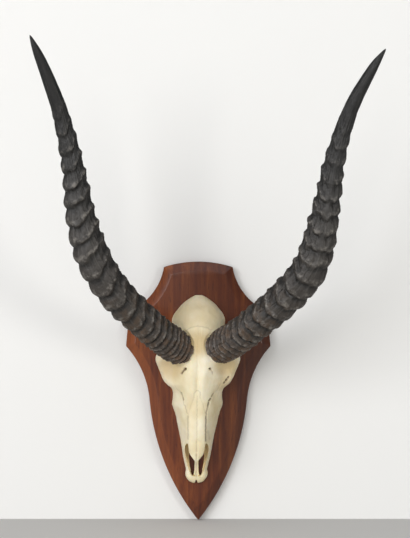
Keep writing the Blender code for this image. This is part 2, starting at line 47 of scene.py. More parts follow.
BEVEL_DEPTH = 9.5
EDGE_EASE = 1.3
EDGE_ANGLE = math.radians(22)
SHARP_ANGLE = math.radians(24)
ARC_STEP = 2.0
TOP_CORNER = (50.5, 182.0)
SHOULDER_CORNER = (101.4, 117.0)
SIDE_POINT = (106.2, 65.7)
WAIST = (71.7, -12.1)
SHIELD_TIP = (0.0, -190.0)
TOP_ARCH_RADIUS = 164.0
SHOULDER_SCOOP_RADIUS = -86.5
SIDE_RADIUS = 4000.0
WAIST_SCOOP_RADIUS = -135.0
TAPER_RADIUS = 330.0
# Round-ended slots in the back: width, length and depth, and the heights of their middles.
REBATE = (20.6, 46.6, 2.0)
HEAD_POCKET = (13.0, 27.0, 9.0)
SCREW_SINK = (9.6, 9.6, 3.9)
PLATE_Z = 140.0
SKULL_SCREWS = (96.0, -24.0)
CUTTER_OVERLAP = 2.0
# A ribbon of the grain and a pore in it: across, through and along the board.
RIBBON_SIZE = (8.0, 30.0, 160.0)
PORE_SIZE = (1.1, 4.0, 18.0)


def deselect_all():
    for obj in bpy.context.selected_objects:
        obj.select_set(False)


def activate(obj):
    deselect_all()
    obj.select_set(True)
    bpy.context.view_layer.objects.active = obj


def edit(obj):
    """Open an object in edit mode with all of it selected."""
    activate(obj)
    bpy.ops.object.mode_set(mode="EDIT")
    bpy.ops.mesh.select_mode(type="FACE")
    bpy.ops.mesh.select_all(action="SELECT")


def leave_edit():
    bpy.ops.object.mode_set(mode="OBJECT")


def face_outwards(obj):
    edit(obj)
    bpy.ops.mesh.normals_make_consistent(inside=False)
    leave_edit()


def apply_modifiers(obj):
    activate(obj)
    for modifier in list(obj.modifiers):
        bpy.ops.object.modifier_apply(modifier=modifier.name)


def boolean(obj, cutter, operation="DIFFERENCE"):
    """Cut an object by another, or join the two, and take the other away."""
    modifier = obj.modifiers.new("boolean", "BOOLEAN")
    modifier.operation = operation
    modifier.solver = "EXACT"
    modifier.object = cutter
    apply_modifiers(obj)
    bpy.data.objects.remove(cutter, do_unlink=True)


def arc(start, end, radius, steps=None):
    """Points from start to just before end. A positive radius bulges to the left of the way."""
    a, b = Vector(start), Vector(end)
    chord = b - a
    side = Vector((-chord.y, chord.x)).normalized()
    to_centre = math.sqrt(radius * radius - chord.length_squared / 4)
    centre = (a + b) / 2 - side * math.copysign(to_centre, radius)
    first = a - centre
    turn = first.angle_signed(b - centre)
    steps = steps or max(2, round(abs(turn * radius) / ARC_STEP))
    return [centre + Matrix.Rotation(-turn * i / steps, 2) @ first for i in range(steps)]


def mirror_point(point):
    return (-point[0], point[1])


def inward(a, b):
    """The direction square to the way from a to b, which runs clockwise, into the board."""
    way = (b - a).normalized()
    return Vector((way.y, -way.x))


def shield_rings():
    """The outline and the bevel's inner edge, as two rings with matching points."""
    corners = [mirror_point(TOP_CORNER), TOP_CORNER, SHOULDER_CORNER, SIDE_POINT, WAIST, SHIELD_TIP]
    corners += [mirror_point(p) for p in (WAIST, SIDE_POINT, SHOULDER_CORNER, TOP_CORNER)]
    radii = [TOP_ARCH_RADIUS, SHOULDER_SCOOP_RADIUS, SIDE_RADIUS, WAIST_SCOOP_RADIUS, TAPER_RADIUS]
    radii += list(reversed(radii[1:]))
    runs = [arc(a, b, r) for a, b, r in zip(corners, corners[1:], radii)]
    closed = [run + [after[0]] for run, after in zip(runs, runs[1:] + runs[:1])]
    mitred = []
    for k, points in enumerate(closed):
        before = inward(closed[k - 1][-2], closed[k - 1][-1])
        after = inward(points[0], points[1])
        mitre = (before + after) / (1 + before.dot(after))
        mitred.append(points[0] + mitre * BEVEL_WIDTH)
    inner = []
    for a, b, radius, run in zip(mitred, mitred[1:] + mitred[:1], radii, runs):
        inner += arc(a, b, radius - BEVEL_WIDTH, len(run))
    return sum(runs, []), inner


def slot_cutter(width, length, depth, z):
    """An upright slot with round ends, sunk from the wall side into the board."""
    height = (depth + CUTTER_OVERLAP) * MM
    bpy.ops.mesh.primitive_cylinder_add(vertices=48, radius=width / 2 * MM, depth=height)
    cutter = bpy.context.object
    for vertex in cutter.data.vertices:
        x, y, up = vertex.co
        lift = math.copysign((length - width) / 2 * MM, y if abs(y) > 1e-7 else 1)
        vertex.co = (x, CUTTER_OVERLAP * MM - up - height / 2, z * MM + y + lift)
    face_outwards(cutter)
    return cutter


outer_ring, inner_ring = shield_rings()
deselect_all()
bpy.ops.mesh.primitive_circle_add(vertices=len(outer_ring), radius=0.1, fill_type="NGON")
shield = bpy.context.object
shield.name = "shield_board"
for vertex, point in zip(shield.data.vertices, outer_ring):
    vertex.co = (point.x * MM, 0.0, point.y * MM)
side_height = (SHIELD_THICKNESS - BEVEL_DEPTH) * MM
edit(shield)
bpy.ops.mesh.extrude_region_move(TRANSFORM_OT_translate={"value": (0, -side_height, 0)})
bpy.ops.mesh.extrude_region_move(TRANSFORM_OT_translate={"value": (0, -BEVEL_DEPTH * MM, 0)})
leave_edit()
for vertex in shield.data.vertices:
    if vertex.co.y < -side_height - 0.5 * MM:
        here = Vector((vertex.co.x, vertex.co.z)) / MM
        gaps = [(point - here).length for point in outer_ring]
        target = inner_ring[gaps.index(min(gaps))]
        vertex.co.x, vertex.co.z = target.x * MM, target.y * MM
face_outwards(shield)
bevel = shield.modifiers.new("eased edges", "BEVEL")
bevel.width = EDGE_EASE * MM
bevel.segments = 3
bevel.limit_method = "ANGLE"
bevel.angle_limit = EDGE_ANGLE
apply_modifiers(shield)
for slot in (REBATE, HEAD_POCKET):
    boolean(shield, slot_cutter(*slot, PLATE_Z))
for screw_z in SKULL_SCREWS:
    boolean(shield, slot_cutter(*SCREW_SINK, screw_z))


def linear(code):
    """A hex colour as linear red, green, blue and alpha."""
    parts = [int(code[i : i + 2], 16) / 255 for i in (1, 3, 5)]
    return (*(c / 12.92 if c <= 0.04045 else ((c + 0.055) / 1.055) ** 2.4 for c in parts), 1.0)


def set_inputs(shader, values):
    for name, value in values.items():
        shader.inputs[name].default_value = value


def add_node(tree, kind, inputs=(), stops=(), **settings):
    """A shader node with its settings. Inputs take values or sockets, stops are a ramp's."""
    made = tree.nodes.new("ShaderNode" + kind)
    for name, value in settings.items():
        setattr(made, name, value)
    for name, value in dict(inputs).items():
        if isinstance(value, bpy.types.NodeSocket):
            tree.links.new(value, made.inputs[name])
        else:
            made.inputs[name].default_value = value
    for i, (position, colour) in enumerate(stops):
        ramp = made.color_ramp.elements
        stop = ramp[i] if i < len(ramp) else ramp.new(position)
        stop.position = position
        stop.color = colour
    return made


def new_material(name):
    """A material with an empty tree but for its shader."""
    material = bpy.data.materials.new(name)
    material.use_nodes = True
    return material, material.node_tree, material.node_tree.nodes["Principled BSDF"]


def varnished_mahogany():
    """Quarter-cut mahogany, stained and varnished to a satin gloss: upright ribbons of red and dark brown
    some millimetres wide, with short dark pores along them. Painted shade darkens the board towards the
    viewer's right, standing in for the skull's shadow, and painted light makes the slanted bevel paler on
    the left."""
    material, tree, shader = new_material("varnished_mahogany")
    place = add_node(tree, "TexCoord").outputs["Object"]
    ribbon_space = add_node(
        tree, "Mapping", {"Vector": place, "Scale": [1 / (size * MM) for size in RIBBON_SIZE]}
    ).outputs[0]
    ribbons = add_node(
        tree,
        "TexNoise",
        {"Vector": ribbon_space, "Scale": 1.0, "Detail": 5.0, "Roughness": 0.6, "Distortion": 0.35},
    ).outputs["Fac"]
    pore_space = add_node(
        tree, "Mapping", {"Vector": place, "Scale": [1 / (size * MM) for size in PORE_SIZE]}
    ).outputs[0]
    pores = add_node(
        tree, "TexNoise", {"Vector": pore_space, "Scale": 1.0, "Detail": 3.0, "Roughness": 0.65}
    ).outputs["Fac"]
    wood = add_node(
        tree,
        "ValToRGB",
        {"Fac": ribbons},
        stops=(
            (0.28, linear("#4f2213")),
            (0.44, linear("#652f16")),
            (0.56, linear("#763c1b")),
            (0.72, linear("#945226")),
        ),
    ).outputs[0]
    pore_mask = add_node(tree, "MapRange", {"Value": pores, "From Min": 0.3, "From Max": 0.44}).outputs[0]
    pored = add_node(
        tree, "Mix", {0: pore_mask, 6: linear("#3c1a10"), 7: wood}, data_type="RGBA"
    ).outputs[2]
    across, depth, height = add_node(tree, "SeparateXYZ", {"Vector": place}).outputs
    # Painted shade: the board darkens towards the viewer's right, standing in for the skull's shadow
    # under light from the left.
    right_painted_shade = add_node(
        tree, "MapRange", {"Value": across, "From Min": -0.03, "From Max": 0.09, "To Max": 0.68}
    ).outputs[0]
    right_shaded = add_node(
        tree, "Mix", {0: right_painted_shade, 6: pored, 7: linear("#35190f")}, data_type="RGBA"
    ).outputs[2]
    # Painted light: the slanted bevel on the left, below the top, is coloured paler, standing in for
    # light from the left.
    slanted = add_node(
        tree, "MapRange", {"Value": depth, "From Min": -0.0199, "From Max": -0.0194}
    ).outputs[0]
    left_side = add_node(
        tree, "MapRange", {"Value": across, "From Min": -0.01, "From Max": -0.05, "To Max": 0.3}
    ).outputs[0]
    below_top = add_node(
        tree, "MapRange", {"Value": height, "From Min": 0.15, "From Max": 0.12}
    ).outputs[0]
    left_cut = add_node(tree, "Math", {0: slanted, 1: left_side}, operation="MULTIPLY").outputs[0]
    painted_light_share = add_node(tree, "Math", {0: left_cut, 1: below_top}, operation="MULTIPLY").outputs[0]
    colour = add_node(
        tree, "Mix", {0: painted_light_share, 6: right_shaded, 7: linear("#9c5730")}, data_type="RGBA"
    ).outputs[2]
    tree.links.new(colour, shader.inputs["Base Color"])
    bump = add_node(tree, "Bump", {"Height": pore_mask, "Strength": 0.25, "Distance": 0.0003}).outputs[0]
    tree.links.new(bump, shader.inputs["Normal"])
    set_inputs(shader, {"Roughness": 0.55, "Specular IOR Level": 0.08})
    set_inputs(shader, {"Coat Weight": 0.75, "Coat Roughness": 0.28})
    return material


shield.data.materials.clear()
shield.data.materials.append(varnished_mahogany())
activate(shield)
bpy.ops.object.shade_smooth_by_angle(angle=SHARP_ANGLE)
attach(shield, "root")
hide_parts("shield")


# The horns: hollow sheaths of keratin slipped over the skull's bony stumps. Each grew from its
# base, so rings with overhanging lips crowd there and stand wide apart above, over upright
# fibres, and the last third is rubbed smooth and nearly black. The pair is not alike.

# Points along the middle of each horn from its base: x, z and how far out from the wall.
HORN_PATHS = {
    "horn_left": (
        *((-32.2, 71.0, 77.3), (-64.1, 98.4, 107.0), (-108.8, 145.2, 143.0)),
        *((-136.8, 191.6, 162.0), (-152.7, 246.1, 176.0), (-162.0, 313.7, 191.0)),
        *((-175.5, 376.9, 207.0), (-192.6, 428.7, 225.0), (-210.4, 473.4, 243.0)),
    ),
    "horn_right": (
        *((35.5, 71.4, 77.3), (62.2, 90.8, 103.0), (115.3, 137.9, 142.0), (146.8, 177.1, 161.0)),
        *((158.9, 211.7, 171.0), (170.0, 268.3, 184.0), (177.5, 316.4, 194.0)),
        *((195.6, 380.3, 211.0), (220.6, 430.1, 231.0), (237.2, 456.0, 243.0)),
    ),
}
# How far along the horn each ring's lip lies, in front.
RING_LIPS = {
    "horn_left": (
        *(3, 10, 18, 27, 36, 46, 58, 74, 94, 115, 138),
        *(163, 188, 211, 234, 257, 281, 304, 327, 351, 375, 397),
    ),
    "horn_right": (
        *(3, 11, 19, 28, 38, 49, 62, 79, 100, 121, 142),
        *(163, 185, 207, 229, 251, 273, 295, 318, 341, 363, 384),
    ),
}
# Which way round from the front the outer side lies.
HORN_OUTWARD = {"horn_left": 1.0, "horn_right": -1.0}
# A ring's lip isn't square to its horn. Each row: degrees round from the front, growing outwards,
# and how far towards the tip the lip lies there on a ring of the wide pitch.
RING_SAGS = {
    "horn_left": (
        *((-180, 8.0), (-135, 13.0), (-90, 17.0), (-60, 16.0), (-45, 14.0), (-33, 9.5)),
        *((-10, 3.5), (15, 0.0), (45, -0.8), (75, -1.0), (120, 1.0), (180, 8.0)),
    ),
    "horn_right": (
        *((-180, 9.0), (-120, 14.0), (-90, 14.0), (-60, 11.5), (-39, 5.0), (-14, 0.3)),
        *((12, 0.8), (50, 3.3), (90, 6.5), (140, 8.0), (180, 9.0)),
    ),
}
WIDE_PITCH = 23.0
SAG_FADE = 60.0
RUN_IN_RINGS = 6
# The radius at each share of the length.
HORN_RADII = (
    *((0.0, 23.8), (0.12, 22.8), (0.3, 23.6), (0.4, 22.7), (0.5, 19.8), (0.6, 15.9)),
    *((0.7, 12.6), (0.8, 10.0), (0.9, 7.5), (0.96, 4.9), (1.0, 0.9)),
)
# A ring from its groove (0) over its lip to the next groove (1): on the front, on the outer side,
# and on the inner side, where it is a tooth whose steep side faces the tip.
FRONT_PROFILE = (
    *((0, -0.85), (0.07, -0.5), (0.17, 0.65), (0.27, 1.0), (0.38, 0.92), (0.55, 0.5)),
    *((0.75, -0.1), (0.9, -0.7), (1, -0.85)),
)
OUTER_PROFILE = (
    *((0, -0.85), (0.12, 0.05), (0.27, 0.85), (0.42, 1.05), (0.62, 0.8), (0.85, -0.15), (1, -0.85)),
)
INNER_PROFILE = (
    *((0, -0.05), (0.12, 0.5), (0.24, 1.0), (0.33, 0.75), (0.42, -0.2), (0.52, -0.75)),
    *((0.7, -0.65), (0.86, -0.35), (1, -0.05)),
)
# How high a ring stands for its pitch, and how far from the last ring the rings begin to fade.
RELIEF_BY_PITCH = ((7, 12, 22), (1.7, 2.2, 2.3))
RING_END_FADE = 110.0
# How much the rings are rubbed down on the front, above the crowded ones.
FRONT_WEAR = {"horn_left": 0.12, "horn_right": 0.72}
# How ragged the ring lips are, and how uneven the rings above the crowded ones.
RING_ROUGHNESS = {"horn_left": 0.75, "horn_right": 1.5}
# Noise on the horns: how fast it changes round a horn and along it.
LIP_WAVER = (1.7, 0.04)
LIP_LUMPS = (3.6, 0.07)
RING_SWELLS = (1.4, 0.045)
RING_KNOBS = (3.4, 0.06)
LINE_WAVER = (3.5, 0.1125)
CRACKS = (2.4, 0.075)
FIBRES = (13.0, 0.035)
LUMPS = (3.0, 0.08)
GRIT = (18.0, 0.45)
# Sizes that change along a horn: the places, then the sizes there.
WAVER_SIZE = ((0, 60, 200), (1.2, 2.4, 5.0))
LUMP_SIZE = ((0, 60, 200), (0.8, 1.5, 2.0))
RING_VARIETY = ((0, 90, 160), (1.1, 0.7, 0.2))
LINE_SPACING = ((0, 50, 110), (4.6, 4.2, 3.1))
LINE_DEPTH = ((0, 60, 120, 260), (0.45, 0.36, 0.18, 0.06))
CRACK_DEPTH = 0.9
FIBRE_DEPTH = 0.75
LUMP_DEPTH = 0.85
GRIT_DEPTH = 0.4
TIP_ROUNDING = 3.0
HORN_COLUMNS = 144
HORN_ROWS = 620
HORN_MERGE = 0.00003
BASE_RUN_IN = 40.0
BASE_TURN = math.radians(20.0)
BASE_GAP = 0.3
TO_VIEWER = np.array([0.0, 0.0, 1.0])


def through(knots, values, at):
    """A smooth curve through the values at rising knots, read at the given places."""
    knots, values, at = (np.asarray(a, float) for a in (knots, values, at))
    steps = np.diff(knots)
    slopes = np.diff(values, axis=0) / steps[:, None]
    tangents = np.vstack([slopes[:1], slopes, slopes[-1:]])
    share = np.concatenate([[0.5], steps[1:] / (steps[:-1] + steps[1:]), [0.5]])[:, None]
    tangents = tangents[:-1] * share + tangents[1:] * (1 - share)
    cell = np.clip(np.searchsorted(knots, at, side="right") - 1, 0, len(steps) - 1)
    width = steps[cell][:, None]
    t = ((at - knots[cell]) / steps[cell])[:, None]
    return (
        (2 * t**3 - 3 * t**2 + 1) * values[cell]
        + (t**3 - 2 * t**2 + t) * width * tangents[cell]
        + (3 * t**2 - 2 * t**3) * values[cell + 1]
        + (t**3 - t**2) * width * tangents[cell + 1]
    )


def read_curve(pairs, at):
    """A smooth curve through (place, value) pairs, read at the given places."""
    knots, values = zip(*pairs)
    return through(knots, [[value] for value in values], at)[:, 0]


def rough(points, seed=0.0):
    """Smooth noise from -1 to 1 at each of the points."""
    return np.array([noise.noise(Vector(p) + Vector((seed, 0, 0))) for p in points.tolist()])


def horn_noise(angle, at, rates, seed):
    """Noise that goes round a horn without a seam, at a rate round it and a rate along it."""
    turns, along = rates
    spots = np.stack([np.cos(angle) * turns, np.sin(angle) * turns, at * along], axis=-1)
    return rough(spots, seed)


def read_points(mesh, what="co"):
    flat = np.empty(len(mesh.vertices) * 3)
    mesh.vertices.foreach_get(what, flat)
    return flat.reshape(-1, 3)


def write_points(mesh, points):
    mesh.vertices.foreach_set("co", np.asarray(points, float).ravel())
    mesh.update()


def keep_value(mesh, name, values):
    """Store a number at each point, for the material to read."""
    layer = mesh.attributes.new(name, "FLOAT", "POINT")
    layer.data.foreach_set("value", np.asarray(values, np.float32))


def to_metres(x, z, depth):
    return np.stack([x, -depth, z], axis=-1) * MM


def horn_line(name, steps=400):
    """Dense points along a horn's middle, their arc lengths and the unit directions there."""
    path = HORN_PATHS[name]
    points = through(np.arange(len(path)), path, np.linspace(0, len(path) - 1, steps))
    lengths = np.concatenate([[0], np.cumsum(np.linalg.norm(np.diff(points, axis=0), axis=1))])
    ways = np.gradient(points, lengths, axis=0)
    return points, lengths, ways / np.linalg.norm(ways, axis=1)[:, None]


def on_horn(name, at, radius, angle):
    """Points (x, z, depth) at lengths, radii and angles round from the front of a horn."""
    points, lengths, ways = horn_line(name)
    reach = np.clip(at, 0.0, lengths[-1])
    middle = np.stack([np.interp(reach, lengths, points[:, i]) for i in range(3)], axis=-1)
    way = np.stack([np.interp(reach, lengths, ways[:, i]) for i in range(3)], axis=-1)
    way /= np.linalg.norm(way, axis=-1)[:, None]
    front = TO_VIEWER - way * way[:, 2:]
    front /= np.linalg.norm(front, axis=-1)[:, None]
    across = np.cross(front, way)
    round_it = np.cos(angle)[:, None] * front + np.sin(angle)[:, None] * across
    return middle + way * (at - reach)[:, None] + radius[:, None] * round_it


def base_plane(name):
    """A point and a normal (x, z, depth) of the plane where horn and bone meet."""
    points, _, ways = horn_line(name)
    level = ways[0] * (1.0, 1.0, 0.0)
    level /= np.linalg.norm(level)
    return points[0], math.sin(BASE_TURN) * level + math.cos(BASE_TURN) * TO_VIEWER


def grid_sheet(name, columns, rows):
    """A new grid with its own UV map, and the two shares that place each of its points."""
    deselect_all()
    bpy.ops.mesh.primitive_grid_add(x_subdivisions=columns, y_subdivisions=rows, size=1.0)
    sheet = bpy.context.object
    sheet.name = name
    places = read_points(sheet.data)
    return sheet, places[:, 0] + 0.5, places[:, 1] + 0.5


def cut_plane(obj, point, normal, keep_front):
    """Cut a solid by a plane given in plan terms (x, z, depth), and close the cut."""
    edit(obj)
    bpy.ops.mesh.bisect(
        plane_co=(point[0] * MM, -point[2] * MM, point[1] * MM),
        plane_no=(normal[0], -normal[2], normal[1]),
        use_fill=True,
        clear_inner=keep_front,
        clear_outer=not keep_front,
    )
    leave_edit()


def close_tube(obj, merge):
    """Merge a rolled sheet's seam and poles, close its ends and point its faces out."""
    edit(obj)
    bpy.ops.mesh.select_mode(type="VERT")
    bpy.ops.mesh.remove_doubles(threshold=merge)
    bpy.ops.mesh.select_all(action="SELECT")
    bpy.ops.mesh.fill_holes(sides=0)
    bpy.ops.mesh.select_all(action="SELECT")
    bpy.ops.mesh.normals_make_consistent(inside=False)
    leave_edit()


def ring_phase(name, at, angle):
    """For each point: its place within its ring from 0 to 1, the ring's pitch, the place along the
    horn that it belongs to, how far it faces away from the other horn, from -1 to 1, and whether
    it lies among the rings."""
    hand = HORN_OUTWARD[name]
    lips = np.array(RING_LIPS[name], float)
    first = lips[1] - lips[0]
    lips = np.concatenate([lips[0] - first * np.arange(RUN_IN_RINGS, 0, -1), lips])
    outward = np.degrees(np.arctan2(hand * np.sin(angle), np.cos(angle)))
    sag = read_curve(RING_SAGS[name], outward)
    sag *= np.interp(at, lips[:-1], np.diff(lips)) / WIDE_PITCH
    sag *= np.interp(at, (lips[-1], lips[-1] + SAG_FADE), (1.0, 0.0))
    wobble = horn_noise(angle, at, LIP_WAVER, 11.0 + hand) * np.interp(at, *WAVER_SIZE)
    raggedness = np.interp(at, *LUMP_SIZE) * RING_ROUGHNESS[name]
    wobble += horn_noise(angle, at, LIP_LUMPS, 41.0 + hand) * raggedness
    spot = at - sag + wobble
    ring = np.clip(np.searchsorted(lips, spot, side="right") - 1, 0, len(lips) - 2)
    pitch = lips[ring + 1] - lips[ring]
    phase = np.clip((spot - lips[ring]) / pitch, 0, 1)
    return phase, pitch, spot, np.sin(np.radians(outward)), spot < lips[-1]


def ring_relief(name, at, angle):
    """How far the surface stands out at each point, how strong its ring is, and how much of it is lip,
    where glints are painted, or groove, where shade is painted."""
    hand = HORN_OUTWARD[name]
    samples = np.linspace(0, 1, 101)
    phase, pitch, spot, outward, ringed = ring_phase(name, at, angle)
    heights = []
    for profile in (FRONT_PROFILE, OUTER_PROFILE, INNER_PROFILE):
        heights.append(np.interp(phase, samples, read_curve(profile, samples)))
    outer = np.clip((outward - 0.45) * 2.2, 0, 1)
    inner = np.clip((-outward - 0.35) * 2.2, 0, 1)
    shape = heights[0] * (1 - outer - inner) + heights[1] * outer + heights[2] * inner
    uneven = 0.5 * horn_noise(angle, spot, RING_SWELLS, 31.0 + hand)
    uneven += 0.55 * horn_noise(angle, spot, RING_KNOBS, 51.0 + hand)
    by_ring = rough(np.stack([pitch, spot * 0.09, at * 0], axis=-1), 61.0)
    uneven += by_ring * np.interp(at, *RING_VARIETY)
    uneven *= np.interp(at, (100, 160), (1.0, RING_ROUGHNESS[name]))
    size = np.interp(pitch, *RELIEF_BY_PITCH) * np.clip(1 + uneven, 0.15, 1.8)
    last = RING_LIPS[name][-1]
    fade = np.interp(spot, (last - RING_END_FADE, last), (1.0, 0.0)) ** 0.8 * ringed
    behind = 0.55 + 0.45 * np.clip(np.cos(angle) + 0.7, 0, 1)
    high = np.clip((at - 140) / 120, 0, 1)
    front_wear = 1 - FRONT_WEAR[name] * high * np.clip(1 - np.abs(outward - 0.1) / 0.5, 0, 1)
    strength = size * fade * behind * (1 - 0.25 * inner) * front_wear
    line_waver = 2.0 * horn_noise(angle, spot, LINE_WAVER, 17.0)
    growth = np.sin(2 * math.pi * spot / np.interp(at, *LINE_SPACING) + line_waver)
    lines = growth * np.interp(at, *LINE_DEPTH) * fade
    turns, along = CRACKS
    crack_space = np.stack(
        [np.cos(angle) * turns + at * 0.05, np.sin(angle) * turns, at * along], axis=-1
    )
    crack = np.clip(1 - np.abs(rough(crack_space, 23.0)) / 0.12, 0, 1)
    crack *= np.clip(0.4 - outward, 0, 1) * np.clip(at / 60, 0, 1) * fade
    # The lip mask places painted glints on the ring lips and on the crests of the growth lines near the
    # base.
    lip = np.clip((shape - 0.55) / 0.4, 0, 1) * fade * front_wear
    lip = 0.75 * np.maximum(lip, 0.7 * np.clip(growth, 0, 1) * np.interp(at, (0, 90), (1, 0)))
    # The groove mask places painted shade in the ring grooves and the cracks.
    groove = np.clip(np.maximum(-shape / 0.75 * front_wear, crack), 0, 1) * fade
    return shape * strength + lines - CRACK_DEPTH * crack, strength, lip, groove


def make_horn(name):
    horn, around, along = grid_sheet(name + "_sheath", HORN_COLUMNS, HORN_ROWS)
    length = horn_line(name)[1][-1]
    at = -BASE_RUN_IN + along * (length + BASE_RUN_IN)
    angle = 2 * math.pi * around
    radius = read_curve(HORN_RADII, np.clip(at / length, 0, 1))
    rounded = np.sqrt(np.clip((length - at) / TIP_ROUNDING, 0, 1))
    radius = np.maximum(radius * rounded, 0.01)
    relief, strength, lip, groove = ring_relief(name, at, angle)
    twist = angle + 0.12 * rough(np.stack([at * 0.03, at * 0, at * 0], axis=-1), 13.0)
    fibre = horn_noise(twist, at, FIBRES, 3.0)
    grain = FIBRE_DEPTH * fibre + LUMP_DEPTH * horn_noise(angle, at, LUMPS, 7.0)
    grain += GRIT_DEPTH * horn_noise(angle, at, GRIT, 5.0)
    worn = np.interp(at, (330, 420), (1.0, 0.3))
    thin = np.clip(radius / 10, 0, 1)
    swell = radius + thin * (relief - 0.35 * strength) + thin * worn * grain
    points = on_horn(name, at, np.maximum(swell, 0.01), angle)
    write_points(horn.data, to_metres(points[:, 0], points[:, 1], points[:, 2]))
    # The lip and groove values tell the material where to paint glints and shade.
    for layer, values in (("lip", lip), ("groove", groove), ("along", at * MM), ("streak", fibre)):
        keep_value(horn.data, layer, values)
    close_tube(horn, HORN_MERGE)
    origin, normal = base_plane(name)
    cut_plane(horn, origin + normal * BASE_GAP, normal, True)
    return horn


def ringed_horn():
    """Antelope horn, a fibrous keratin: charcoal with brown warmth near the base, paler on the lips with
    painted glints, painted shade in the grooves and cracks, and a worn satin black at the tip. The
    painted glints are about 6 mm wide and the brown patches 14 mm."""
    material, tree, shader = new_material("ringed_horn")
    place = add_node(tree, "TexCoord").outputs["Object"]
    lip, groove, along, streak = (
        add_node(tree, "Attribute", attribute_name=name).outputs["Fac"]
        for name in ("lip", "groove", "along", "streak")
    )
    length_colour = add_node(
        tree,
        "ValToRGB",
        {"Fac": add_node(tree, "MapRange", {"Value": along, "From Max": 0.48}).outputs[0]},
        stops=(
            (0.0, linear("#3d3127")),
            (0.16, linear("#38322c")),
            (0.5, linear("#393633")),
            (0.66, linear("#252423")),
            (0.84, linear("#121212")),
        ),
    ).outputs[0]
    mottle = add_node(
        tree, "TexNoise", {"Vector": place, "Scale": 160.0, "Detail": 6.0, "Roughness": 0.65}
    ).outputs["Fac"]
    # Painted glints: pale spots on the ring lips stand in for highlights.
    glint_spots = add_node(tree, "MapRange", {"Value": mottle, "From Min": 0.46, "From Max": 0.66}).outputs[0]
    lip_glint = add_node(tree, "Math", {0: lip, 1: glint_spots}, operation="MULTIPLY").outputs[0]
    patches = add_node(
        tree, "TexNoise", {"Vector": place, "Scale": 70.0, "Detail": 3.0, "Roughness": 0.6}
    ).outputs["Fac"]
    near_base = add_node(
        tree, "MapRange", {"Value": along, "From Min": 0.15, "From Max": 0.0, "To Max": 0.8}
    ).outputs[0]
    brown_patch = add_node(
        tree, "MapRange", {"Value": patches, "From Min": 0.46, "From Max": 0.62}
    ).outputs[0]
    brown = add_node(tree, "Math", {0: near_base, 1: brown_patch}, operation="MULTIPLY").outputs[0]
    warm = add_node(
        tree, "Mix", {0: brown, 6: length_colour, 7: linear("#5b4229")}, data_type="RGBA"
    ).outputs[2]
    # Painted highlight: the glints on the lips are mixed in as a pale grey.
    worn = add_node(
        tree, "Mix", {0: lip_glint, 6: warm, 7: linear("#8b867f")}, data_type="RGBA"
    ).outputs[2]
    # Painted shade: the grooves and cracks are darkened to near black.
    shade = add_node(tree, "Math", {0: groove, 1: 0.85}, operation="MULTIPLY").outputs[0]
    groove_shaded = add_node(
        tree, "Mix", {0: shade, 6: worn, 7: linear("#121110")}, data_type="RGBA"
    ).outputs[2]
    pale_fibre = add_node(
        tree, "MapRange", {"Value": streak, "From Min": 0.1, "From Max": 0.6, "To Max": 0.22}
    ).outputs[0]
    streaked = add_node(
        tree, "Mix", {0: pale_fibre, 6: groove_shaded, 7: linear("#625e59")}, data_type="RGBA"
    ).outputs[2]
    tree.links.new(streaked, shader.inputs["Base Color"])
    # Fibres 1 mm wide and 9 mm long at the base, drawn as coarse as they need to show.
    sheet = add_node(tree, "TexCoord").outputs["UV"]
    fibre_space = add_node(tree, "Mapping", {"Vector": sheet, "Scale": (150.0, 60.0, 1.0)}).outputs[0]
    fibres = add_node(
        tree, "TexNoise", {"Vector": fibre_space, "Scale": 1.0, "Detail": 3.0}
    ).outputs["Fac"]
    coarse_bump = add_node(
        tree, "Bump", {"Height": mottle, "Strength": 0.5, "Distance": 0.0006}
    ).outputs[0]
    bump = add_node(
        tree,
        "Bump",
        {"Height": fibres, "Strength": 0.8, "Distance": 0.0007, "Normal": coarse_bump},
    ).outputs[0]
    tree.links.new(bump, shader.inputs["Normal"])
    rub = add_node(
        tree,
        "MapRange",
        {"Value": along, "From Min": 0.30, "From Max": 0.46, "To Min": 0.5, "To Max": 0.36},
    ).outputs[0]
    polished = add_node(
        tree, "Math", {0: lip_glint, 1: -0.22, 2: rub}, operation="MULTIPLY_ADD"
    ).outputs[0]
    tree.links.new(polished, shader.inputs["Roughness"])
    return material


horn_finish = ringed_horn()
for horn_name in HORN_PATHS:
    horn = make_horn(horn_name)
    horn.data.materials.append(horn_finish)
    activate(horn)
    bpy.ops.object.shade_smooth_by_angle(angle=math.radians(60))
    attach(horn, "root")
    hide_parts(horn_name)


# The skull: one piece of boiled and bleached bone, sawn flat behind and seated on the board. The
# dome, the narrow forehead between the horns, the flaring roofs of the eye sockets, the long
# paired nasal bones over the open nose and the two lobes at its end are all its own surface.

